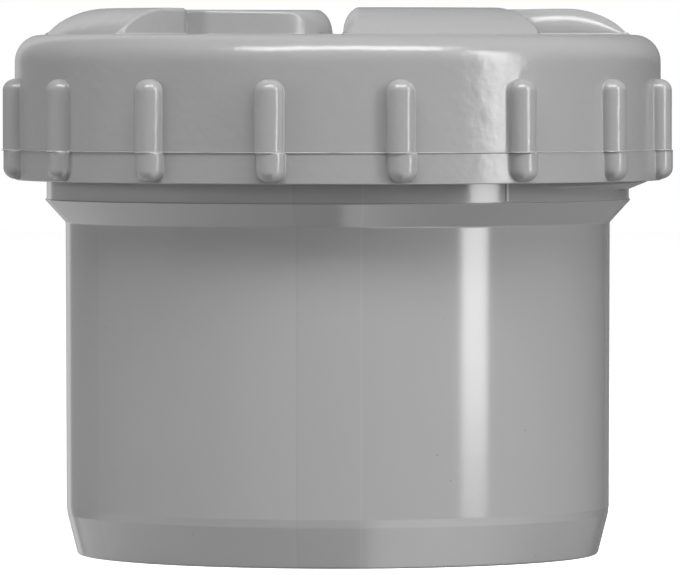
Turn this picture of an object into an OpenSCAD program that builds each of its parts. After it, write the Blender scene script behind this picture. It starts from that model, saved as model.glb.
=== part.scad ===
// Screwed access cap for 110 mm soil pipe: a chamfered spigot with a threaded
// neck, a ribbed cap with four raised grips, and the sealing ring between them.
// The origin is the centre of the spigot's open end, and +Z points to the cap.

/* [Spigot] */
// Outside diameter of the spigot, the size of the pipe it joins
spigot_d = 110; // [82:1:160]
// Wall of the spigot and of the neck
spigot_wall = 4; // [3:0.1:5]
// Length of the spigot, from its open end to the foot of the cone
spigot_l = 67; // [40:0.1:120]
// Length of the lead-in chamfer at the open end
chamfer_l = 9.7; // [4:0.1:16]
// How far the chamfer comes in at the open end
chamfer_in = 2.4; // [1.5:0.1:2.7]
// Small round on the corner of the open end
end_round = 0.5; // [0.2:0.1:0.6]

/* [Neck] */
// Height of the cone between spigot and neck
cone_h = 4.6; // [3:0.1:9]
// How far the neck stands out from the spigot, on the radius
neck_step = 3.85; // [2:0.05:6]
// Length of the neck, from the cone to its rim
neck_l = 27; // [22:0.2:40]
// Small chamfer on the rim of the neck
rim_chamfer = 0.5; // [0.2:0.1:1]
// How far the cone's top edge stands proud of the neck
neck_lip = 0.35; // [0.1:0.05:0.8]

/* [Thread] */
// Pitch of the thread, which is its lead too
thread_pitch = 8; // [7:0.1:9]
// Height of the thread ridge on the neck
thread_h = 4.1; // [3:0.1:4.5]
// Width of the ridge's crest
crest_w = 1.6; // [1:0.1:2]
// Slope of the ridge's flanks from the radius, in degrees
flank_slope = 22; // [15:1:25]
// Where the ridge starts to rise from the neck, in degrees from +X
thread_start = -47; // [-180:1:180]
// Turn over which a ridge rises to its full height, in degrees
thread_rise = 47; // [30:1:90]
// Height of the ridge's middle above the cone, where the ridge starts
thread_up = 3.05; // [2.6:0.05:4]
// Running clearance between the two threads
thread_gap = 0.35; // [0.3:0.05:0.5]

/* [Cap] */
// Open gap between the cone and the cap's lower edge
cap_gap = 3.95; // [1:0.05:6]
// Wall of the cap's skirt
skirt_wall = 1.95; // [1.5:0.05:4]
// Thickness of the cap's disc
disc_t = 3; // [2:0.1:5]
// Round between the skirt and the disc
shoulder_r = 5.4; // [3:0.1:6]

/* [Ribs] */
// Number of ribs round the skirt
rib_count = 16; // [8:1:24]
// Width of a rib, which is round on the outside
rib_w = 5.6; // [5.2:0.1:7]
// How far the ribs stand out from the skirt
rib_out = 3.1; // [3:0.1:4]
// Length of a rib with its round ends
rib_l = 20; // [12:0.5:21]
// Height of the ribs above the cap's lower edge
rib_up = 0.5; // [0.2:0.05:1.5]
// Place of the first rib, in degrees from -Y towards +X
rib_turn = -11.76; // [-22:0.01:22]

/* [Grips] */
// Number of raised grips on the disc
grip_count = 4; // [4:1:4]
// Height of the grips above the disc
grip_h = 5.3; // [4:0.1:9]
// Distance from the cap's side to the foot of the grips
grip_inset = 6; // [5.6:0.1:9]
// Depth of a grip, from its foot at the rim to its inner wall
grip_depth = 29.2; // [20:0.1:32]
// Width of the outer slope, from the foot to the flat top
grip_slope_w = 12.7; // [10:0.1:16]
// Turn from a grip's straight side to its far side, in degrees
grip_span = 45; // [35:1:50]
// Distance of the straight side from the centre line
grip_side = 1; // [0.5:0.1:4]
// Distance of the far side from its own radius, on the near side of it
grip_far_side = 1.9; // [0.5:0.1:4]
// Plan radius of the corner between the straight side and the inner wall
grip_corner_r = 13; // [4:0.5:14]
// Plan radius of the corner between the far side and the inner wall
grip_far_r = 2.8; // [2:0.1:5]
// Round on the grips' edges
grip_round = 1.6; // [1:0.1:1.9]

/* [Sealing ring] */
// Thickness of the ring
seal_t = 3; // [2:0.1:5]
// Width of the ring on the radius
seal_w = 3.8; // [3:0.1:4]
// Play of the ring between the neck's rim and the cap
seal_gap = 0.1; // [0.1:0.05:0.3]
// Width of the lip that centres the ring in the cap
lip_w = 1.8; // [1:0.1:2.5]
// Depth of that lip
lip_h = 3.2; // [2:0.1:4]

/* [Hidden] */
$fn = 128;
spigot_r = spigot_d / 2;
bore_r = spigot_r - spigot_wall;
neck_r = spigot_r + neck_step;
neck_bore_r = neck_r - spigot_wall;
neck_z = spigot_l + cone_h;
rim_z = neck_z + neck_l;
cap_z = neck_z + cap_gap;
ceiling_z = rim_z + seal_t + 2 * seal_gap;
disc_z = ceiling_z + disc_t;
crest_r = neck_r + thread_h;
skirt_in_r = crest_r + thread_gap;
skirt_r = skirt_in_r + skirt_wall;
inner_round = shoulder_r - 2.2;
thread_step = 10;
thread_sink = 0.6;
foot_w = crest_w + 2 * thread_h * tan(flank_slope);
nut_foot_w = thread_pitch - crest_w - 2 * thread_gap;
nut_crest_w = nut_foot_w - 2 * thread_h * tan(flank_slope);
thread_z = neck_z + thread_up - thread_pitch * thread_start / 360;
thread_edge = 1;
nut_edge = 1.6;
grip_foot_r = skirt_r - grip_inset;
grip_top_r = grip_foot_r - grip_slope_w;
grip_in = grip_foot_r - grip_depth;
grip_face_r = (grip_slope_w * grip_slope_w + grip_h * grip_h) / (2 * grip_h);
grip_z = disc_z + grip_h;
grip_sink = 0.5;

// Points of an arc in the plane, from angle a to angle b
function arc(x, y, r, a, b, steps) =
    [for (i = [0 : steps]) let (t = a + (b - a) * i / steps) [x + r * cos(t), y + r * sin(t)]];

// Share of a ridge's full height at angle t of a thread that runs from a to b
function rise(t, a, b) = sin(90 * max(0, min(1, (t - a) / thread_rise, (b - t) / thread_rise)));

// One helical ridge on a wall of radius wall_r, rising by thread_h outwards (out = 1) or inwards (-1)
module ridge(wall_r, out, crest, z, a, b) {
    steps = ceil((b - a) / thread_step);
    points = [for (i = [0 : steps])
        let (t = a + (b - a) * i / steps, h = thread_h * rise(t, a, b))
        let (top = wall_r + out * (h - thread_sink / 2 * (1 - h / thread_h)))
        let (foot = crest / 2 + (h + thread_sink) * tan(flank_slope))
        let (low = wall_r - out * thread_sink, zc = z + thread_pitch * t / 360)
        for (p = [[low, -foot], [top, -crest / 2], [top, crest / 2], [low, foot]])
            [p.x * cos(t), p.x * sin(t), zc + p.y]];
    last = 4 * steps;
    sides = [for (i = [0 : steps - 1], k = [0 : 3])
        let (n = (k + 1) % 4)
        [4 * i + k, 4 * i + n, 4 * i + 4 + n, 4 * i + 4 + k]];
    faces = concat([[3, 2, 1, 0]], sides, [[last, last + 1, last + 2, last + 3]]);
    polyhedron(points, out > 0 ? faces : [for (f = faces) [for (i = [len(f) - 1 : -1 : 0]) f[i]]]);
}

module spigot_section() {
    polygon([
        [bore_r, 0],
        [spigot_r - chamfer_in - end_round, 0],
        [spigot_r - chamfer_in, end_round],
        [spigot_r, chamfer_l],
        [spigot_r, spigot_l],
        [neck_r + neck_lip, neck_z],
        [neck_r, neck_z],
        [neck_r, rim_z - rim_chamfer],
        [neck_r - rim_chamfer, rim_z],
        [neck_bore_r, rim_z],
        [neck_bore_r, neck_z + spigot_wall / 4],
        [bore_r, spigot_l + spigot_wall / 4]
    ]);
}

// Spigot, cone, neck and thread are one moulding
module spigot_body() {
    last = (rim_z - thread_edge - foot_w / 2 - thread_z) * 360 / thread_pitch;
    color("#9d9d9d")
    union() {
        rotate_extrude() spigot_section();
        ridge(neck_r, 1, crest_w, thread_z, thread_start, last);
    }
}

// Half of the cap's outer section, with the round shoulder
module cap_outline() {
    translate([0, cap_z]) square([skirt_r, disc_z - shoulder_r - cap_z]);
    translate([0, cap_z]) square([skirt_r - shoulder_r, disc_z - cap_z]);
    translate([skirt_r - shoulder_r, disc_z - shoulder_r]) circle(shoulder_r);
}

// The space inside the cap
module cap_hollow() {
    below = 1;
    translate([0, cap_z - below]) square([skirt_in_r, ceiling_z - inner_round - cap_z + below]);
    translate([0, cap_z - below]) square([skirt_in_r - inner_round, ceiling_z - cap_z + below]);
    translate([skirt_in_r - inner_round, ceiling_z - inner_round]) circle(inner_round);
}

// Lip inside the cap that the sealing ring sits round
module seal_lip() {
    lip_r = neck_bore_r - thread_gap * 3;
    translate([lip_r - lip_w, ceiling_z - lip_h]) square([lip_w, lip_h + disc_t / 2]);
}

// Skirt and disc with the ribs; the ribs end at the skirt's inner wall
module cap_shell() {
    difference() {
        union() {
            rotate_extrude() intersection() {
                cap_outline();
                translate([0, cap_z]) square([skirt_r, disc_z - cap_z]);
            }
            ribs();
        }
        rotate_extrude() cap_hollow();
    }
    rotate_extrude() seal_lip();
}

module rib() {
    r = rib_w / 2;
    rotate_extrude($fn = 32) intersection() {
        union() {
            translate([0, r]) square([r, rib_l - rib_w]);
            translate([0, r]) circle(r);
            translate([0, rib_l - r]) circle(r);
        }
        square([r, rib_l]);
    }
}

module ribs() {
    for (i = [0 : rib_count - 1])
        rotate(rib_turn - 90 + 360 * i / rib_count)
            translate([skirt_r + rib_out - rib_w / 2, 0, cap_z + rib_up])
                rib();
}

// Plan of one grip, drawn in by the edge round: its straight side lies along +X
module grip_plan() {
    r = grip_round;
    far = grip_span;
    near_x = grip_in + grip_corner_r;
    far_x = grip_in + grip_far_r;
    far_y = (far_x * sin(far) - grip_far_side - grip_far_r) / cos(far);
    near_end = asin((grip_side + r) / grip_foot_r);
    far_end = far - asin((grip_far_side + r) / grip_foot_r);
    polygon(concat(
        arc(near_x, grip_side + grip_corner_r, grip_corner_r - r, 270, 180, 6),
        arc(far_x, far_y, grip_far_r - r, 180, 90 + far, 2),
        arc(0, 0, grip_foot_r, far_end, near_end, 9)
    ));
}

// Space under the grips' top and outer slope, drawn in by the edge round
module grip_dome() {
    r = grip_round;
    rotate_extrude($fn = 72) intersection() {
        union() {
            translate([0, disc_z - 9]) square([grip_top_r, grip_h + 9 - r]);
            translate([grip_top_r, grip_z - grip_face_r]) circle(grip_face_r - r, $fn = 48);
        }
        translate([0, disc_z - 4]) square([grip_foot_r, grip_h + 4 - r]);
    }
}

module grip() {
    difference() {
        minkowski() {
            intersection() {
                translate([0, 0, disc_z - 4]) linear_extrude(grip_h + 4) grip_plan();
                grip_dome();
            }
            sphere(grip_round, $fn = 16);
        }
        translate([0, 0, disc_z - 20 - grip_sink]) cylinder(h = 20, r = skirt_r);
    }
}

module grips() {
    for (i = [0 : grip_count - 1])
        rotate(-90 + 360 * i / grip_count) grip();
}

// Skirt, disc, ribs, grips and the inner thread are one moulding
module screw_cap() {
    z = thread_z + thread_pitch / 2;
    first = (cap_z + nut_edge + nut_foot_w / 2 - z) * 360 / thread_pitch;
    last = (rim_z - nut_foot_w / 2 - z) * 360 / thread_pitch;
    color("#a0a0a0")
    union() {
        cap_shell();
        grips();
        ridge(skirt_in_r, -1, nut_crest_w, z, first, last);
    }
}

// Flat ring of rubber between the neck's rim and the cap's ceiling
module seal_ring() {
    edge = 0.4;
    color("#2b2b2b")
    translate([0, 0, rim_z + seal_gap])
        rotate_extrude()
            translate([neck_r - seal_w - 0.15, 0])
                polygon([
                    [edge, 0], [seal_w - edge, 0], [seal_w, edge], [seal_w, seal_t - edge],
                    [seal_w - edge, seal_t], [edge, seal_t], [0, seal_t - edge], [0, edge]
                ]);
}

spigot_body();
screw_cap();
seal_ring();
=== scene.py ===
import math

import bmesh
import bpy
from mathutils import Matrix, Vector


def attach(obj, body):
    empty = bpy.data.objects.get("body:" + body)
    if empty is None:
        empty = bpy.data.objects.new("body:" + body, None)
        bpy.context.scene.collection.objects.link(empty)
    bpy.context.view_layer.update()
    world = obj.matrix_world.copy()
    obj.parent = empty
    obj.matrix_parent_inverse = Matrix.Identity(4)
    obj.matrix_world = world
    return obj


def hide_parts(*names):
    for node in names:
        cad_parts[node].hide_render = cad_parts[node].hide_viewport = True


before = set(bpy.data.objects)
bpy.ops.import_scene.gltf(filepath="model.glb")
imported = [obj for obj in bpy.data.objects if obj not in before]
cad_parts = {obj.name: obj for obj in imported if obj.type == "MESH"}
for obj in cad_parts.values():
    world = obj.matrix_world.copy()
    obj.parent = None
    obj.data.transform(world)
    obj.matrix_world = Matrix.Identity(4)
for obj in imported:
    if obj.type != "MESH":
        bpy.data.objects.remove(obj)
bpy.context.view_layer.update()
scene = bpy.context.scene
bpy.ops.object.select_all(action="DESELECT")

# Everything is modelled in millimetres and brought to metres when a piece is finished
mm = 0.001
fullTurn = 2 * math.pi
samePoint = 0.0005  # points this close are one point
seamPoint = 0.01  # the same, where two finished surfaces meet
hair = 0.001  # too little to see
print("frame loaded")


# Shared tools
def toLinear(hexColour):
    parts = [int(hexColour[i:i + 2], 16) / 255 for i in (1, 3, 5)]
    return [c / 12.92 if c <= 0.04045 else ((c + 0.055) / 1.055) ** 2.4 for c in parts] + [1.0]


def grey(value):
    return toLinear("#" + 3 * format(value, "02x"))


def addNode(tree, kind, settings=None, links=None):
    node = tree.nodes.new(kind)
    for name, value in (settings or {}).items():
        if isinstance(name, str) and hasattr(node, name):
            setattr(node, name, value)
        else:
            node.inputs[name].default_value = value
    for name, source in (links or {}).items():
        tree.links.new(source, node.inputs[name])
    return node


def editPiece():
    bpy.ops.object.mode_set(mode="EDIT")


def leaveEdit():
    bpy.ops.object.mode_set(mode="OBJECT")


def pickNone():
    bpy.ops.mesh.select_all(action="DESELECT")


def pickAll():
    bpy.ops.mesh.select_all(action="SELECT")


def pickedPoints(shape):
    return [v for v in shape.verts if v.select]


def showEdit():
    bmesh.update_edit_mesh(bpy.context.object.data)


def mergePoints(closer):
    pickAll()
    bpy.ops.mesh.remove_doubles(threshold=closer)


def faceOutwards():
    pickAll()
    bpy.ops.mesh.normals_make_consistent(inside=False)


# A hair-thin inset only adds a ring of points, which the caller then moves
def addRing():
    bpy.ops.mesh.inset(thickness=hair, depth=0)


def nearestOf(points, here):
    return min(range(len(points)), key=lambda i: (points[i] - here).length_squared)


# Turns a list of (x, y, round) corners into points, with each round as an arc of so many degrees a step
def roundCorners(corners, step=9.0, closed=False):
    points = []
    count = len(corners)
    for i, (x, y, radius) in enumerate(corners):
        here = Vector((x, y))
        if radius == 0 or (not closed and i in (0, count - 1)):
            points.append(here)
            continue
        before = Vector(corners[i - 1][:2]) - here
        after = Vector(corners[(i + 1) % count][:2]) - here
        before.normalize()
        after.normalize()
        half = before.angle(after) / 2
        centre = here + (before + after).normalized() * (radius / math.sin(half))
        start = here + before * (radius / math.tan(half)) - centre
        turn = math.pi - 2 * half
        side = 1 if before.cross(after) < 0 else -1
        pieces = max(2, math.ceil(math.degrees(turn) / step))
        for k in range(pieces + 1):
            bend = Matrix.Rotation(side * turn * k / pieces, 2)
            points.append(centre + bend @ start)
    return points


# Draws a line by extruding a single point, and stays in edit mode
def drawLine(name, points):
    bpy.ops.mesh.primitive_plane_add(size=1)
    piece = bpy.context.object
    piece.name = name
    editPiece()
    bpy.ops.mesh.merge(type="CENTER")
    bpy.ops.transform.translate(value=points[0])
    for a, b in zip(points, points[1:]):
        bpy.ops.mesh.extrude_vertices_move(TRANSFORM_OT_translate={"value": b - a})
    return piece


# Spins an outline of (radius, height) corners into a surface of revolution
def lathe(name, corners, steps, closed=False):
    points = [Vector((p.x, 0, p.y)) for p in roundCorners(corners, closed=closed)]
    if closed:
        points.append(points[0].copy())
    piece = drawLine(name, points)
    mergePoints(samePoint)
    pickAll()
    bpy.ops.mesh.spin(steps=steps, angle=fullTurn, use_auto_merge=True, center=(0, 0, 0), axis=(0, 0, 1))
    mergePoints(samePoint)
    faceOutwards()
    leaveEdit()
    return piece


def joinPieces(pieces):
    bpy.ops.object.select_all(action="DESELECT")
    for piece in pieces:
        piece.select_set(True)
    bpy.context.view_layer.objects.active = pieces[0]
    bpy.ops.object.join()
    return pieces[0]


def applyModifier(piece, kind, **settings):
    modifier = piece.modifiers.new(kind.title(), kind)
    for name, value in settings.items():
        setattr(modifier, name, value)
    bpy.context.view_layer.objects.active = piece
    bpy.ops.object.modifier_apply(modifier=modifier.name)


# Brings a piece to metres, smooths what turns less than this angle, gives it its material and body, and hides
# the CAD part it stands for
def finishPiece(piece, material, body, node, smooth=38):
    bpy.ops.object.select_all(action="DESELECT")
    piece.select_set(True)
    bpy.context.view_layer.objects.active = piece
    piece.data.transform(Matrix.Scale(mm, 4))
    bpy.ops.object.shade_smooth_by_angle(angle=math.radians(smooth))
    applyModifier(piece, "WEIGHTED_NORMAL", keep_sharp=True, weight=60)
    piece.data.materials.clear()
    piece.data.materials.append(material)
    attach(piece, body)
    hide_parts(node)
    piece.select_set(False)
    print(piece.name, "has", sum(len(p.vertices) - 2 for p in piece.data.polygons), "triangles")


# Materials

# The azimuth of a place or a direction, from -Y towards +X
def addAzimuth(tree, axes):
    back = addNode(tree, "ShaderNodeMath", {"operation": "MULTIPLY", 1: -1.0}, {0: axes.outputs["Y"]})
    azimuth = addNode(tree, "ShaderNodeMath", {"operation": "ARCTAN2"},
                      {0: axes.outputs["X"], 1: back.outputs[0]})
    return azimuth.outputs[0]


# Grey PVC-U as it leaves the mould: a hard, semi-gloss skin with a fine orange peel over slow waves,
# a few dark specks, and bands of painted light and shade along the axis at mould lines, at a step on the neck
# and at a soft reflection edge
def mouldedPvc(name, look):
    material = bpy.data.materials.new(name)
    material.use_nodes = True
    tree = material.node_tree
    shader = tree.nodes["Principled BSDF"]
    shader.inputs["IOR"].default_value = look["ior"]
    place = addNode(tree, "ShaderNodeTexCoord").outputs["Object"]
    clouds = addNode(tree, "ShaderNodeTexNoise", {"Scale": 1 / (look["cloudMm"] * mm), "Detail": 3.0},
                     {"Vector": place})
    tone = addNode(tree, "ShaderNodeMix", {"data_type": "RGBA"}, {"Factor": clouds.outputs["Fac"]})
    tone.inputs["A"].default_value = grey(look["greyLow"])
    tone.inputs["B"].default_value = grey(look["greyHigh"])
    # Specks: the middles of those cells whose own random value is high
    cells = addNode(tree, "ShaderNodeTexVoronoi", {"Scale": 1 / (look["speckEveryMm"] * mm)},
                    {"Vector": place})
    speckShare = look["speckMm"] / look["speckEveryMm"]
    spot = addNode(tree, "ShaderNodeMath", {"operation": "LESS_THAN", 1: speckShare},
                   {0: cells.outputs["Distance"]})
    rare = addNode(tree, "ShaderNodeMath", {"operation": "GREATER_THAN", 1: look["speckRare"]},
                   {0: cells.outputs["Color"]})
    speck = addNode(tree, "ShaderNodeMath", {"operation": "MULTIPLY"},
                    {0: spot.outputs[0], 1: rare.outputs[0]})
    specked = addNode(tree, "ShaderNodeMix", {"data_type": "RGBA"}, {"Factor": speck.outputs[0]})
    tree.links.new(tone.outputs["Result"], specked.inputs["A"])
    specked.inputs["B"].default_value = grey(look["greySpeck"])
    colour = specked.outputs["Result"]
    # Bands along the axis change the tone: painted highlight and shade at mould lines and at a step, and a
    # painted lighter patch up to a soft reflection edge
    axes = addNode(tree, "ShaderNodeSeparateXYZ", None, {"Vector": place})
    azimuth = addAzimuth(tree, axes)
    for first, last, fromMm, change in look["mouldLinesAndPaintedLight"]:
        around = addNode(tree, "ShaderNodeMath", {"operation": "COMPARE", 1: math.radians((first + last) / 2),
                                                  2: math.radians((last - first) / 2)}, {0: azimuth})
        above = addNode(tree, "ShaderNodeMath", {"operation": "GREATER_THAN", 1: fromMm * mm},
                        {0: axes.outputs["Z"]})
        inside = addNode(tree, "ShaderNodeMath", {"operation": "MULTIPLY"},
                         {0: around.outputs[0], 1: above.outputs[0]})
        band = addNode(tree, "ShaderNodeMix", {"data_type": "RGBA", "blend_type": "MULTIPLY"},
                       {"Factor": inside.outputs[0]})
        tree.links.new(colour, band.inputs["A"])
        band.inputs["B"].default_value = [change] * 3 + [1]
        colour = band.outputs["Result"]
    tree.links.new(colour, shader.inputs["Base Color"])
    gloss = addNode(tree, "ShaderNodeMapRange", {"To Min": look["roughLow"], "To Max": look["roughHigh"]},
                    {"Value": clouds.outputs["Fac"]})
    tree.links.new(gloss.outputs["Result"], shader.inputs["Roughness"])
    waves = addNode(tree, "ShaderNodeTexNoise", {"Scale": 1 / (look["waveMm"] * mm), "Detail": 1.0},
                    {"Vector": place})
    slow = addNode(tree, "ShaderNodeBump", {"Strength": 1.0, "Distance": look["waveDeepMm"] * mm},
                   {"Height": waves.outputs["Fac"]})
    peel = addNode(tree, "ShaderNodeTexNoise", {"Scale": 1 / (look["peelMm"] * mm), "Detail": 2.0},
                   {"Vector": place})
    fine = addNode(tree, "ShaderNodeBump", {"Strength": 1.0, "Distance": look["peelDeepMm"] * mm},
                   {"Height": peel.outputs["Fac"], "Normal": slow.outputs["Normal"]})
    tree.links.new(fine.outputs["Normal"], shader.inputs["Normal"])
    return material


# Moulded EPDM rubber: matt and nearly black, with a greyer bloom in patches
def blackRubber(name, look):
    material = bpy.data.materials.new(name)
    material.use_nodes = True
    tree = material.node_tree
    shader = tree.nodes["Principled BSDF"]
    shader.inputs["Roughness"].default_value = look["rough"]
    place = addNode(tree, "ShaderNodeTexCoord").outputs["Object"]
    bloom = addNode(tree, "ShaderNodeTexNoise", {"Scale": 1 / (look["bloomMm"] * mm), "Detail": 4.0},
                    {"Vector": place})
    tone = addNode(tree, "ShaderNodeMix", {"data_type": "RGBA"}, {"Factor": bloom.outputs["Fac"]})
    tone.inputs["A"].default_value = grey(look["greyLow"])
    tone.inputs["B"].default_value = grey(look["greyHigh"])
    tree.links.new(tone.outputs["Result"], shader.inputs["Base Color"])
    return material


# The greys are sRGB values of all three channels. A band of painted light or shade is its first and last
# azimuth in degrees, the height in millimetres from which it shows, and its share of the tone
spigotLook = {"ior": 1.53, "cloudMm": 40, "greyLow": 0x9c, "greyHigh": 0xa0,
              "greySpeck": 0x74, "speckMm": 0.13, "speckEveryMm": 5.0, "speckRare": 0.6,
              "roughLow": 0.11, "roughHigh": 0.15, "waveMm": 14, "waveDeepMm": 0.03,
              "peelMm": 1.2, "peelDeepMm": 0.005,
              # Painted light and shade: -60° to -8.3° is a lighter patch of painted light edged by a painted
              # dark line, 4.7° to 5° a painted bright line along a mould line, and the two bands from 72 mm
              # up a painted highlight and shadow on either side of a step on the neck
              "mouldLinesAndPaintedLight": [(-60, -8.3, 0, 1.03), (-8.6, -8.2, 0, 0.95), (4.7, 5.0, 0, 1.06),
                             (34.4, 34.8, 72, 1.7), (33.9, 34.2, 72, 0.6)]}
capLook = {"ior": 1.53, "cloudMm": 30, "greyLow": 0x96, "greyHigh": 0x9b,
           "greySpeck": 0x70, "speckMm": 0.13, "speckEveryMm": 6.0, "speckRare": 0.6,
           "roughLow": 0.18, "roughHigh": 0.26, "waveMm": 3.0, "waveDeepMm": 0.09,
           "peelMm": 0.9, "peelDeepMm": 0.02, "mouldLinesAndPaintedLight": []}
rubberLook = {"rough": 0.7, "bloomMm": 3, "greyLow": 0x1c, "greyHigh": 0x2e}
spigotPvc = mouldedPvc("mouldedPvcSpigot", spigotLook)
capPvc = mouldedPvc("mouldedPvcCap", capLook)
rubber = blackRubber("blackEpdmRubber", rubberLook)
print("materials made")

# Spigot: one lathe outline, with the helical ridge joined to its neck
spigot = {"radius": 55.0, "wall": 4.0, "length": 67.0, "draft": 0.12, "chamferTop": 9.7, "chamferStep": 8.1,
          "stepIn": 0.2, "chamferIn": 2.4, "chamferRound": 1.5, "endRound": 0.6, "mouthRound": 0.3,
          "footRound": 0.6, "coneHeight": 4.6, "neckStep": 3.85, "neckLength": 27.0, "neckRound": 0.5,
          "innerUp": 1.0, "innerRound": 1.5, "steps": 256}
# The mould left a fine lip on the cone's upper edge
coneLip = {"out": 0.35, "round": 0.12, "waist": 0.05, "height": 0.3}
# The ridge starts at this angle from +X, climbs to the neck's rim, and takes "rise" degrees to reach its full
# height from either end
thread = {"pitch": 8.0, "height": 4.1, "crest": 1.6, "slope": 22.0, "start": -47.0, "rise": 47.0, "up": 3.6,
          "gap": 0.35, "sink": 0.6, "stepDegrees": 5.0, "edge": 1.0, "crestOut": 0.12, "crestIn": 0.25,
          "crestDrop": 0.3, "thinnest": 0.05}
neckRadius = spigot["radius"] + spigot["neckStep"]
neckFoot = spigot["length"] + spigot["coneHeight"]
neckRim = neckFoot + spigot["neckLength"]
flank = math.tan(math.radians(thread["slope"]))
threadFoot = thread["crest"] + 2 * thread["height"] * flank
threadMiddle = neckFoot + thread["up"] - thread["pitch"] * thread["start"] / 360


# One ridge: its section follows the helix, and it rises from the wall at both ends
def makeRidge(name, wall, out, crest, middle, first, last):
    height, sink = thread["height"], thread["sink"]
    foot = crest / 2 + (height + sink) * flank
    wide, narrow = crest / 2 + thread["crestOut"], crest / 2 - thread["crestIn"]
    lower = height - thread["crestDrop"]
    section = [(-foot, -sink), (-wide, lower), (-narrow, height),
               (narrow, height), (wide, lower), (foot, -sink)]
    points = [Vector((wall + out * h, 0, z)) for z, h in section]
    ridge = drawLine(name, points + [points[0]])
    mergePoints(samePoint)
    leaveEdit()
    turns = (last - first) / 360
    steps = round((last - first) / thread["stepDegrees"])
    applyModifier(ridge, "SCREW", angle=fullTurn * turns, screw_offset=thread["pitch"] * turns, steps=steps,
                  render_steps=steps, use_merge_vertices=False, axis="Z")
    for v in ridge.data.vertices:
        radius = math.hypot(v.co.x, v.co.y)
        above = out * (radius - wall)
        # The nearest of the helix's turns, of which there are fewer than four, tells how far along the
        # ridge the point lies
        azimuth = math.degrees(math.atan2(v.co.y, v.co.x)) % 360
        along = min((abs(v.co.z - thread["pitch"] * (azimuth + 360 * n) / 360), azimuth + 360 * n)
                    for n in range(-1, 4))[1]
        aside = v.co.z - thread["pitch"] * along / 360
        share = min(1.0, max(0.0, along / thread["rise"]), max(0.0, (last - first - along) / thread["rise"]))
        risen = math.sin(math.pi / 2 * share)
        lowered = above * risen - sink / 2 * (1 - risen) if above > 0 else above
        narrower = (1 - risen) * (height - max(above, 0)) * flank
        aside = math.copysign(max(abs(aside) - narrower, thread["thinnest"]), aside)
        turn = math.radians(along + first)
        reach = wall + out * lowered
        v.co = Vector((reach * math.cos(turn), reach * math.sin(turn),
                       middle + thread["pitch"] * (along + first) / 360 + aside))
    editPiece()
    pickNone()
    bpy.ops.mesh.select_non_manifold()
    bpy.ops.mesh.fill_holes(sides=0)
    faceOutwards()
    leaveEdit()
    return ridge


neckInner = neckRadius - spigot["wall"]
spigotCorners = [
    (spigot["radius"] - spigot["wall"], 0, spigot["mouthRound"]),
    (spigot["radius"] - spigot["chamferIn"], 0, spigot["endRound"]),
    (spigot["radius"] - spigot["draft"] - spigot["stepIn"], spigot["chamferStep"], spigot["chamferRound"]),
    (spigot["radius"] - spigot["draft"], spigot["chamferTop"], spigot["chamferRound"]),
    (spigot["radius"], spigot["length"], spigot["footRound"]),
    (neckRadius + coneLip["out"], neckFoot, coneLip["round"]),
    (neckRadius + coneLip["waist"], neckFoot + coneLip["height"] / 2, 0),
    (neckRadius, neckFoot + coneLip["height"], 0),
    (neckRadius, neckRim, spigot["neckRound"]),
    (neckInner, neckRim, spigot["neckRound"]),
    (neckInner, neckFoot + spigot["innerUp"], spigot["innerRound"]),
    (spigot["radius"] - spigot["wall"], spigot["length"] + spigot["innerUp"], spigot["innerRound"]),
]
spigotBody = lathe("spigotMoulding", spigotCorners, spigot["steps"], closed=True)
ridgeEnd = (neckRim - thread["edge"] - threadFoot / 2 - threadMiddle) * 360 / thread["pitch"]
neckRidge = makeRidge("neckRidge", neckRadius, 1, thread["crest"], threadMiddle, thread["start"], ridgeEnd)
spigotBody = joinPieces([spigotBody, neckRidge])
finishPiece(spigotBody, spigotPvc, "spigot", "spigot_body")
print("spigot made")

# Screw cap: skirt with ribs, round shoulder, disc with four grips, inside with lip and thread
cap = {"gapBelow": 3.95, "skirtWall": 1.95, "disc": 3.0, "shoulder": 5.4, "edge": 0.2, "columns": 12,
       "mouthRound": 0.3, "innerRound": 3.2, "lipWidth": 1.8, "lipHeight": 3.2, "lipRound": 0.4,
       "threadUp": 1.6}
# A rib's profile is drawn inwards from its foot: the fillet, then a side that rounds over into the crest
rib = {"count": 16, "footHalf": 3.15, "low": 0.25, "high": 20.45, "first": -11.76, "cornerRound": 2.9,
       "leastRound": 0.12, "rows": 12, "skirtRings": 6, "endDraw": 0.88, "fillet": 0.35,
       "profile": [(0, 0, 0), (0.35, 0, 0.3), (0.42, 3.1, 2.65), (3.1, 3.1, 0)]}
# The mould closes a little above the cap's lower edge. Its lower half is turned, proud and a little aside,
# a thin flash stands along the line, and the ribs' width steps there. "deep" is how far into the skirt the
# lower half reaches, and "onLine" how far from the line a point still counts as on it
parting = {"height": 6.1, "turn": 0.2, "proud": 0.05, "aside": 0.14, "flash": 0.22, "half": 0.17,
           "widthTop": 0.96, "widthAbove": 1.0, "widthBelow": 1.02, "widthFoot": 0.98, "onLine": 0.01,
           "deep": 0.5}
seal = {"thick": 3.0, "width": 3.8, "play": 0.1, "edge": 0.5, "inset": 0.15, "steps": 192}
skirtInner = neckRadius + thread["height"] + thread["gap"]
skirtOuter = skirtInner + cap["skirtWall"]
capFoot = neckFoot + cap["gapBelow"]
ceiling = neckRim + seal["thick"] + 2 * seal["play"]
discTop = ceiling + cap["disc"]
shoulderFoot = discTop - cap["shoulder"]
partingLine = capFoot + parting["height"]


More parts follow.
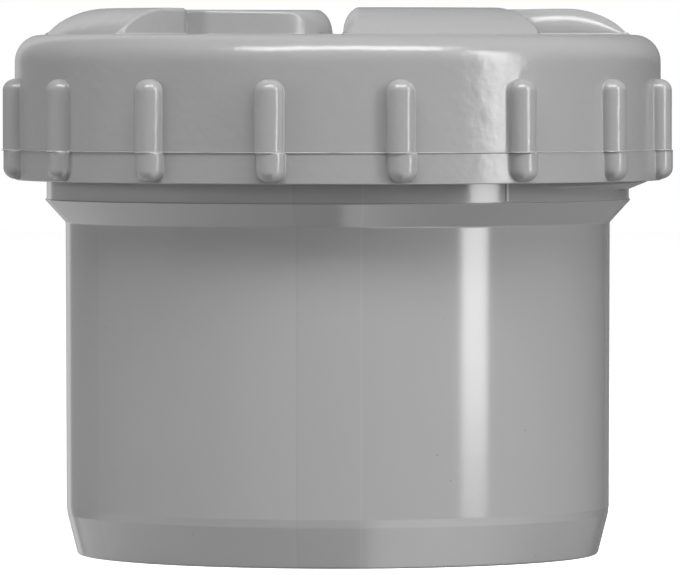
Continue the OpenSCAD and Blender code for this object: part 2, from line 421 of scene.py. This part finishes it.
# Where a mark on the edge of the square from -1 to 1 lies on a rib's outline, drawn in by d
def ribPoint(mark, d):
    half = rib["footHalf"] - d
    corner = max(rib["cornerRound"] - d, rib["leastRound"])
    # The ends lean in from where the fillet stops
    drawn = rib["endDraw"] * max(d - rib["fillet"], 0)
    low, high = capFoot + rib["low"] + drawn, capFoot + rib["high"] - drawn
    # A mark at the top or the bottom goes along the straight end first, and then round the corner
    if abs(mark.y) > 1 - hair:
        straight = half - corner
        reach = abs(mark.x) * (straight + corner * math.pi / 2)
        turn = max(reach - straight, 0) / corner
        side = min(reach, straight) + corner * math.sin(turn)
        drop = corner * (1 - math.cos(turn))
        return Vector((math.copysign(side, mark.x), high - drop if mark.y > 0 else low + drop))
    return Vector((half * mark.x, low + corner + (high - low - 2 * corner) * (mark.y + 1) / 2))


# A flat panel of the skirt with one rib, later wrapped round the cap: X along the skirt, -Y out, Z up
def makeRibPanel():
    sector = fullTurn * skirtOuter / rib["count"]
    low, high = capFoot + cap["edge"], shoulderFoot
    across, rows = cap["columns"], rib["rows"]
    bpy.ops.mesh.primitive_grid_add(x_subdivisions=across, y_subdivisions=rows, size=2,
                                    rotation=(math.pi / 2, 0, 0))
    panel = bpy.context.object
    panel.name = "ribPanel"
    bpy.ops.object.transform_apply(location=True, rotation=True, scale=True)
    editPiece()
    pickAll()
    bpy.ops.mesh.dissolve_faces()
    shape = bmesh.from_edit_mesh(panel.data)
    marks = [Vector((v.co.x, v.co.z)) for v in shape.verts]
    # Rings of points from the panel's edge to the rib's foot, then up the rib's profile
    edge = [Vector((m.x * sector / 2, low + (high - low) * (m.y + 1) / 2)) for m in marks]
    rings = [([e.lerp(ribPoint(m, 0), k / rib["skirtRings"]) for e, m in zip(edge, marks)], 0)
             for k in range(rib["skirtRings"])]
    rings += [([ribPoint(m, step.x) for m in marks], step.y) for step in roundCorners(rib["profile"])]
    outline = marks
    pickAll()
    for ring, out in rings:
        if outline is not marks:
            addRing()
        for v in pickedPoints(shape):
            nearest = ring[nearestOf(outline, Vector((v.co.x, v.co.z)))]
            v.co = Vector((nearest.x, -out, nearest.y))
        showEdit()
        outline = ring
    # The parting line crosses skirt and rib: three cuts, then the lower half is moved
    for shift in (-parting["half"], 0, parting["half"]):
        pickAll()
        bpy.ops.mesh.bisect(plane_co=(0, 0, partingLine + shift), plane_no=(0, 0, 1))
    for v in shape.verts:
        above = v.co.z - partingLine
        nearRib = min(1.0, (sector / 2 - abs(v.co.x)) / (sector / 2 - rib["footHalf"]),
                      (high - v.co.z) / (high - capFoot - rib["high"]),
                      (v.co.z - low) / (rib["low"] - cap["edge"]))
        if above > -parting["onLine"]:
            share = above / (rib["high"] - parting["height"])
            width = parting["widthAbove"] + (parting["widthTop"] - parting["widthAbove"]) * min(share, 1)
        else:
            wider = (parting["widthFoot"] - parting["widthBelow"]) * -above / parting["height"]
            width = parting["widthBelow"] + wider
        v.co.x += math.copysign(min(abs(v.co.x), rib["footHalf"]) * (width - 1) * nearRib, v.co.x)
        if above < -parting["onLine"]:
            v.co.x += math.radians(parting["turn"]) * skirtOuter * nearRib
            v.co.y -= parting["proud"]
        elif above < parting["onLine"]:
            v.co.y -= parting["proud"] + parting["flash"]
    showEdit()
    faceOutwards()
    leaveEdit()
    return panel


def wrapPanel(panel, turn):
    copy = panel.copy()
    copy.data = panel.data.copy()
    scene.collection.objects.link(copy)
    for v in copy.data.vertices:
        angle = v.co.x / skirtOuter + turn
        reach = skirtOuter - v.co.y
        v.co = Vector((reach * math.sin(angle), -reach * math.cos(angle), v.co.z))
    return copy


panel = makeRibPanel()
sectorTurn = fullTurn / rib["count"]
skirt = [wrapPanel(panel, i * sectorTurn) for i in range(rib["count"])]
bpy.data.objects.remove(panel)
print("ribbed skirt made")

# The grips stand on the disc; each is drawn in plan, with its straight side along +X. That side is a wide
# soft slope up to "sideFrom" from the X axis, and has turned into the narrow edge round at "sideTo"
grip = {"count": 4, "height": 5.3, "inset": 6.0, "depth": 29.2, "slopeWidth": 12.7, "side": 1.0,
        "cornerRound": 13.0, "farAngle": 45.0, "farSide": 1.9, "farRound": 2.8, "rimRound": 2.0,
        "leastRound": 0.1, "fillet": 0.45, "edgeRound": 0.75, "sideWide": 3.5, "sideHigh": 5.1,
        "sideFrom": 3.0, "sideTo": 9.0, "draft": 0.08, "fall": 0.4, "filletAngles": (25, 50, 70, 90),
        "sideAngleStep": 9, "topRings": (0.82, 0.64, 0.46, 0.28, 0.1)}
gripFoot = skirtOuter - grip["inset"]
gripInner = gripFoot - grip["depth"]
gripFlat = gripFoot - grip["slopeWidth"]
gripArc = (grip["slopeWidth"] ** 2 + grip["height"] ** 2) / (2 * grip["height"])


def unitVector(degrees):
    return Vector((math.cos(math.radians(degrees)), math.sin(math.radians(degrees))))


# Plan of a grip drawn in by d: four rounds, joined by two straight sides, the inner wall and the rim's arc
def gripLoop(d):
    along = unitVector(grip["farAngle"])
    across = Vector((-along.y, along.x))
    rimRound = max(grip["rimRound"] - d, grip["leastRound"])
    farRound = max(grip["farRound"] - d, grip["leastRound"])
    nearRound = max(grip["cornerRound"] - d, grip["leastRound"])
    reach = gripFoot - d - rimRound
    low = grip["side"] + d + rimRound
    high = -grip["farSide"] - d - rimRound
    nearRim = Vector((math.sqrt(reach ** 2 - low ** 2), low))
    farRim = across * high + along * math.sqrt(reach ** 2 - high ** 2)
    farX = gripInner + d + farRound
    farInner = Vector((farX, (-grip["farSide"] - d - farRound - across.x * farX) / across.y))
    nearInner = Vector((gripInner + d + nearRound, grip["side"] + d + nearRound))
    nearTurn = math.degrees(math.atan2(nearRim.y, nearRim.x))
    farTurn = math.degrees(math.atan2(farRim.y, farRim.x))
    # Each round: centre, radius, first and last angle, its steps, and the steps of the straight before it
    rounds = [(nearRim, rimRound, -90, nearTurn, 8, 14),
              (Vector((0, 0)), gripFoot - d, nearTurn, farTurn, 16, 0),
              (farRim, rimRound, farTurn, 90 + grip["farAngle"], 8, 0),
              (farInner, farRound, 90 + grip["farAngle"], 180, 8, 14),
              (nearInner, nearRound, 180, 270, 14, 5)]
    points = []
    last = nearInner - Vector((0, nearRound))
    for centre, radius, first, end, pieces, lead in rounds:
        start = centre + radius * unitVector(first)
        points += [last.lerp(start, k / lead) for k in range(1, lead + 1)]
        points += [centre + radius * unitVector(first + (end - first) * k / pieces)
                   for k in range(1, pieces + 1)]
        last = points[-1]
    return points


# Height of the grips' top and outer slope over the disc at a distance from the axis
def gripTop(radius):
    reach = min(max(radius - gripFlat, 0), gripArc)
    inward = max(gripFlat - radius, 0) / (gripFlat - gripInner)
    slope = math.sqrt(gripArc ** 2 - reach ** 2) - gripArc
    return max(0.0, slope + grip["height"] - grip["fall"] * inward ** 2)


# Height of a grip at a point that lies this far inside its wall
def gripHeight(point, inside):
    top = gripTop(math.hypot(point.x, point.y))
    fillet = grip["fillet"]
    share = max(0.0, min(1.0, inside / fillet + 1))
    foot = fillet * (1 - math.sqrt(1 - share * share))
    if inside <= 0:
        return min(top, foot)
    side = max(0.0, min(1.0, (grip["sideTo"] - point.y) / (grip["sideTo"] - grip["sideFrom"])))
    wide = grip["edgeRound"] + (grip["sideWide"] - grip["edgeRound"]) * side
    high = min(top, grip["edgeRound"] + (grip["sideHigh"] - grip["edgeRound"]) * side)
    step = max(0.0, min(wide, inside - grip["draft"]))
    return top - high + high * math.sqrt(1 - (1 - step / wide) ** 2)


def makeGrip():
    loop = gripLoop(-grip["fillet"])
    piece = drawLine("grip", [Vector((p.x, p.y, 0)) for p in loop + loop[:1]])
    mergePoints(samePoint)
    pickAll()
    bpy.ops.mesh.edge_face_add()
    shape = bmesh.from_edit_mesh(piece.data)
    for face in shape.faces:
        face.normal_update()
        if face.normal.z < 0:
            face.normal_flip()
    showEdit()
    fillet, widest = grip["fillet"], grip["sideWide"]
    steps = [fillet * (math.sin(math.radians(a)) - 1) for a in grip["filletAngles"]]
    steps += [grip["draft"] + widest * (1 - math.cos(math.radians(a)))
              for a in range(0, 91, grip["sideAngleStep"])]
    # Rings up the fillet and the side, then across the top to near its middle
    for d in steps:
        addRing()
        wanted = gripLoop(d)
        for v in pickedPoints(shape):
            nearest = wanted[nearestOf(loop, v.co.to_2d())]
            v.co = Vector((nearest.x, nearest.y, gripHeight(nearest, d)))
        showEdit()
        loop = wanted
    centre = sum((v.co for v in pickedPoints(shape)), Vector()) / len(pickedPoints(shape))
    for left in grip["topRings"]:
        addRing()
        for v in pickedPoints(shape):
            place = centre.to_2d().lerp(wanted[nearestOf(loop, v.co.to_2d())], left)
            v.co = Vector((place.x, place.y, gripTop(place.length)))
        showEdit()
        loop = [centre.to_2d().lerp(point, left) for point in wanted]
    leaveEdit()
    return piece


gripPiece = makeGrip()
grips = []
for i in range(grip["count"]):
    copy = gripPiece.copy()
    copy.data = gripPiece.data.copy()
    scene.collection.objects.link(copy)
    # The skirt is turned to its place at the end, so the grips are turned back by as much here
    turn = Matrix.Rotation(-math.pi / 2 + fullTurn * i / grip["count"] - math.radians(rib["first"]), 4, "Z")
    copy.data.transform(Matrix.Translation((0, 0, discTop)) @ turn)
    grips.append(copy)
bpy.data.objects.remove(gripPiece)

# The shoulder overlaps its neighbours by a hair, and their points are merged
columns = rib["count"] * cap["columns"]
shoulder = lathe("shoulder", [(skirtOuter, shoulderFoot - hair, 0), (skirtOuter, discTop, cap["shoulder"]),
                              (skirtOuter - cap["shoulder"] - hair, discTop, 0)], columns)
lipOuter = neckInner - 3 * thread["gap"]
lipInner = lipOuter - cap["lipWidth"]
lipFoot = ceiling - cap["lipHeight"]
inside = lathe("capInside", [
    (skirtOuter + parting["proud"], capFoot + cap["edge"], 0),
    (skirtOuter + parting["proud"], capFoot, cap["edge"]),
    (skirtInner, capFoot, cap["mouthRound"]),
    (skirtInner, ceiling, cap["innerRound"]),
    (lipOuter, ceiling, cap["lipRound"]),
    (lipOuter, lipFoot, cap["lipRound"]),
    (lipInner, lipFoot, cap["lipRound"]),
    (lipInner, ceiling, cap["lipRound"]),
    (0, ceiling, 0),
], columns)
screwCap = joinPieces([inside, shoulder] + skirt + grips)
screwCap.name = "capMoulding"
editPiece()
mergePoints(seamPoint)
faceOutwards()
# The disc: the flat ring between the shoulder and the four grips
pickNone()
bpy.ops.mesh.select_mode(type="EDGE")
bpy.ops.mesh.select_non_manifold(extend=False, use_wire=False, use_multi_face=False,
                                 use_non_contiguous=False, use_verts=False)
bpy.ops.mesh.fill(use_beauty=True)
bpy.ops.mesh.select_mode(type="VERT")
faceOutwards()
leaveEdit()
toPlace = Matrix.Rotation(math.radians(rib["first"]), 3, "Z")
for v in screwCap.data.vertices:
    v.co = toPlace @ v.co
    # The mould's lower half sat a little aside
    if v.co.z < partingLine - parting["onLine"] and v.co.to_2d().length > skirtOuter - parting["deep"]:
        v.co.x += parting["aside"]
# The cap's own thread fills the space between the neck's turns, less a gap on both sides
nutFoot = thread["pitch"] - thread["crest"] - 2 * thread["gap"]
nutCrest = nutFoot - 2 * thread["height"] * flank
nutMiddle = threadMiddle + thread["pitch"] / 2
nutFirst = (capFoot + cap["threadUp"] + nutFoot / 2 - nutMiddle) * 360 / thread["pitch"]
nutLast = (neckRim - nutFoot / 2 - nutMiddle) * 360 / thread["pitch"]
capRidge = makeRidge("capRidge", skirtInner, -1, nutCrest, nutMiddle, nutFirst, nutLast)
screwCap = joinPieces([screwCap, capRidge])
finishPiece(screwCap, capPvc, "cap", "screw_cap")
print("cap made")

# Sealing ring: a flat ring with round edges
ringInner = neckRadius - seal["width"] - seal["inset"]
ringOuter = ringInner + seal["width"]
ringLow = neckRim + seal["play"]
ringHigh = ringLow + seal["thick"]
sealCorners = [(x, z, seal["edge"]) for x, z in ((ringInner, ringLow), (ringOuter, ringLow),
                                                 (ringOuter, ringHigh), (ringInner, ringHigh))]
sealRing = lathe("sealingRing", sealCorners, seal["steps"], closed=True)
finishPiece(sealRing, rubber, "seal", "seal_ring")
print("sealing ring made")

# Floor: nearly white where the camera sees it, and a darker grey in what it throws on the object
floor = {"size": 6.0, "seen": 0xe6, "albedo": 0xa0, "white": 0.8}
bpy.ops.mesh.primitive_plane_add(size=floor["size"], location=(0, 0, 0))
floorPiece = bpy.context.object
floorPiece.name = "paleFloor"
floorPiece.visible_glossy = False
floorMaterial = bpy.data.materials.new("paleFloor")
floorMaterial.use_nodes = True
tree = floorMaterial.node_tree
tree.nodes.clear()
rays = addNode(tree, "ShaderNodeLightPath")
seen = addNode(tree, "ShaderNodeBsdfDiffuse", {"Color": grey(floor["seen"])})
glow = addNode(tree, "ShaderNodeEmission", {"Strength": floor["white"]})
bright = addNode(tree, "ShaderNodeAddShader", None, {0: seen.outputs[0], 1: glow.outputs[0]})
darker = addNode(tree, "ShaderNodeBsdfDiffuse", {"Color": grey(floor["albedo"])})
choose = addNode(tree, "ShaderNodeMixShader", None, {0: rays.outputs["Is Camera Ray"], 1: darker.outputs[0],
                                                     2: bright.outputs[0]})
addNode(tree, "ShaderNodeOutputMaterial", None, {"Surface": choose.outputs[0]})
floorPiece.data.materials.append(floorMaterial)

# The studio as the object sees it: a dim sweep behind and above, a dark room with a bright wall behind on the
# left, and a lit table below the horizon. Each stop is an azimuth and how bright it is there
sweep = {"towards": (0, 0.506, 0.863), "edge": 0.465, "soft": 0.02, "value": 0.2}
room = {"stops": [(-180, 0.25), (-170, 0.6), (-158, 1.0), (-156.5, 0.34), (-120, 0.12), (-90, 0.03),
                  (-60, 0.03), (60, 0.02), (120, 0.02), (157, 0.02), (158.5, 0.16), (180, 0.25)],
        "scale": 1.0}
table = {"stops": [(-180, 0.1), (-150, 0.3), (-120, 0.32), (-90, 0.2), (-60, 0.12), (-30, 0.03), (10, 0.02),
                   (18, 0.75), (45, 0.8), (70, 0.6), (100, 0.15), (130, 0.1), (180, 0.1)],
         "scale": 2.8, "below": -0.15, "full": -0.2}


# Brightness all round the horizon, from a look's stops
def addRound(tree, share, look):
    ramp = addNode(tree, "ShaderNodeValToRGB", None, {"Fac": share})
    marks = ramp.color_ramp.elements
    marks[0].color = [look["stops"][0][1]] * 3 + [1]
    marks[1].color = [look["stops"][-1][1]] * 3 + [1]
    for angle, value in look["stops"][1:-1]:
        marks.new((angle + 180) / 360).color = [value] * 3 + [1]
    scaled = addNode(tree, "ShaderNodeMath", {"operation": "MULTIPLY", 1: look["scale"]},
                     {0: ramp.outputs["Color"]})
    return scaled.outputs[0]


world = bpy.data.worlds.new("studio")
scene.world = world
world.use_nodes = True
tree = world.node_tree
tree.nodes.clear()
rays = addNode(tree, "ShaderNodeLightPath")
direction = addNode(tree, "ShaderNodeTexCoord").outputs["Generated"]
place = addNode(tree, "ShaderNodeSeparateXYZ", None, {"Vector": direction})
turned = addNode(tree, "ShaderNodeMapRange", {"From Min": -math.pi, "From Max": math.pi},
                 {"Value": addAzimuth(tree, place)})
aligned = addNode(tree, "ShaderNodeVectorMath", {"operation": "DOT_PRODUCT", 1: sweep["towards"]},
                  {0: direction})
inSweep = addNode(tree, "ShaderNodeMapRange", {"From Min": sweep["edge"] - sweep["soft"],
                                               "From Max": sweep["edge"] + sweep["soft"]},
                  {"Value": aligned.outputs["Value"]})
below = addNode(tree, "ShaderNodeMapRange", {"From Min": table["below"], "From Max": table["full"]},
                {"Value": place.outputs["Z"]})
dimmed = addNode(tree, "ShaderNodeMath", {"operation": "MULTIPLY", 1: sweep["value"]},
                 {0: inSweep.outputs["Result"]})
upper = addNode(tree, "ShaderNodeMath", {"operation": "MAXIMUM"},
                {0: dimmed.outputs[0], 1: addRound(tree, turned.outputs["Result"], room)})
whole = addNode(tree, "ShaderNodeMix", None, {"Factor": below.outputs["Result"], "A": upper.outputs[0],
                                              "B": addRound(tree, turned.outputs["Result"], table)})
soft = addNode(tree, "ShaderNodeBackground", {"Color": (1, 1, 1, 1)}, {"Strength": whole.outputs["Result"]})
white = addNode(tree, "ShaderNodeBackground", {"Color": (1, 1, 1, 1), "Strength": 1.0})
choose = addNode(tree, "ShaderNodeMixShader", None, {0: rays.outputs["Is Camera Ray"], 1: soft.outputs[0],
                                                     2: white.outputs[0]})
addNode(tree, "ShaderNodeOutputWorld", None, {"Surface": choose.outputs[0]})

# Azimuth is measured from -Y towards +X, in degrees; away, width and height are in metres. The lamps that
# aren't mirrored are fills so soft that the plastic shows no edge of them
lamps = [
    {"name": "stripRight", "azimuth": 58.6, "elevation": 18, "away": 1.6,
     "width": 0.36, "height": 1.3, "watts": 15, "mirrored": True},
    {"name": "topFront", "azimuth": 3, "elevation": 59, "away": 1.5,
     "width": 1.6, "height": 0.42, "watts": 25, "mirrored": True},
    {"name": "topLow", "azimuth": 0, "elevation": 42, "away": 1.6,
     "width": 1.6, "height": 0.6, "watts": 1.5, "mirrored": True},
    {"name": "softFront", "azimuth": 30, "elevation": 12, "away": 2.2,
     "width": 1.2, "height": 0.9, "watts": 2.5, "mirrored": False},
    {"name": "sideRight", "azimuth": 82, "elevation": 22, "away": 2.2,
     "width": 1.6, "height": 1.0, "watts": 1.2, "mirrored": False},
    {"name": "sideLeft", "azimuth": -78, "elevation": 3, "away": 2.2,
     "width": 1.2, "height": 0.9, "watts": 24, "mirrored": False},
]
aim = Vector((0, 0, 0.055))  # the middle of the object
for lamp in lamps:
    data = bpy.data.lights.new(lamp["name"], "AREA")
    data.shape = "RECTANGLE"
    data.size, data.size_y = lamp["width"], lamp["height"]
    data.energy = lamp["watts"]
    light = bpy.data.objects.new(lamp["name"], data)
    light.visible_glossy = lamp["mirrored"]
    scene.collection.objects.link(light)
    azimuth, elevation = math.radians(lamp["azimuth"]), math.radians(lamp["elevation"])
    towards = Vector((math.sin(azimuth) * math.cos(elevation), -math.cos(azimuth) * math.cos(elevation),
                      math.sin(elevation)))
    light.location = aim + towards * lamp["away"]
    light.rotation_euler = towards.to_track_quat("Z", "Y").to_euler()

# The camera stands far off in front, a hair to the right: metres, and the lens in millimetres
view = {"distance": 1.6235, "eyeHeight": 0.1002, "aside": 0.00046, "aimHeight": 0.0537, "lens": 425.0}
camera = bpy.data.objects.new("camera", bpy.data.cameras.new("camera"))
scene.collection.objects.link(camera)
camera.location = (view["aside"], -view["distance"], view["eyeHeight"])
line = Vector((view["aside"], 0, view["aimHeight"])) - camera.location
camera.rotation_euler = line.to_track_quat("-Z", "Y").to_euler()
camera.data.lens = view["lens"]
camera.data.sensor_width = 36
camera.data.clip_start = 0.05
scene.camera = camera
scene.view_settings.view_transform = "Standard"
print("stage, light and camera set")
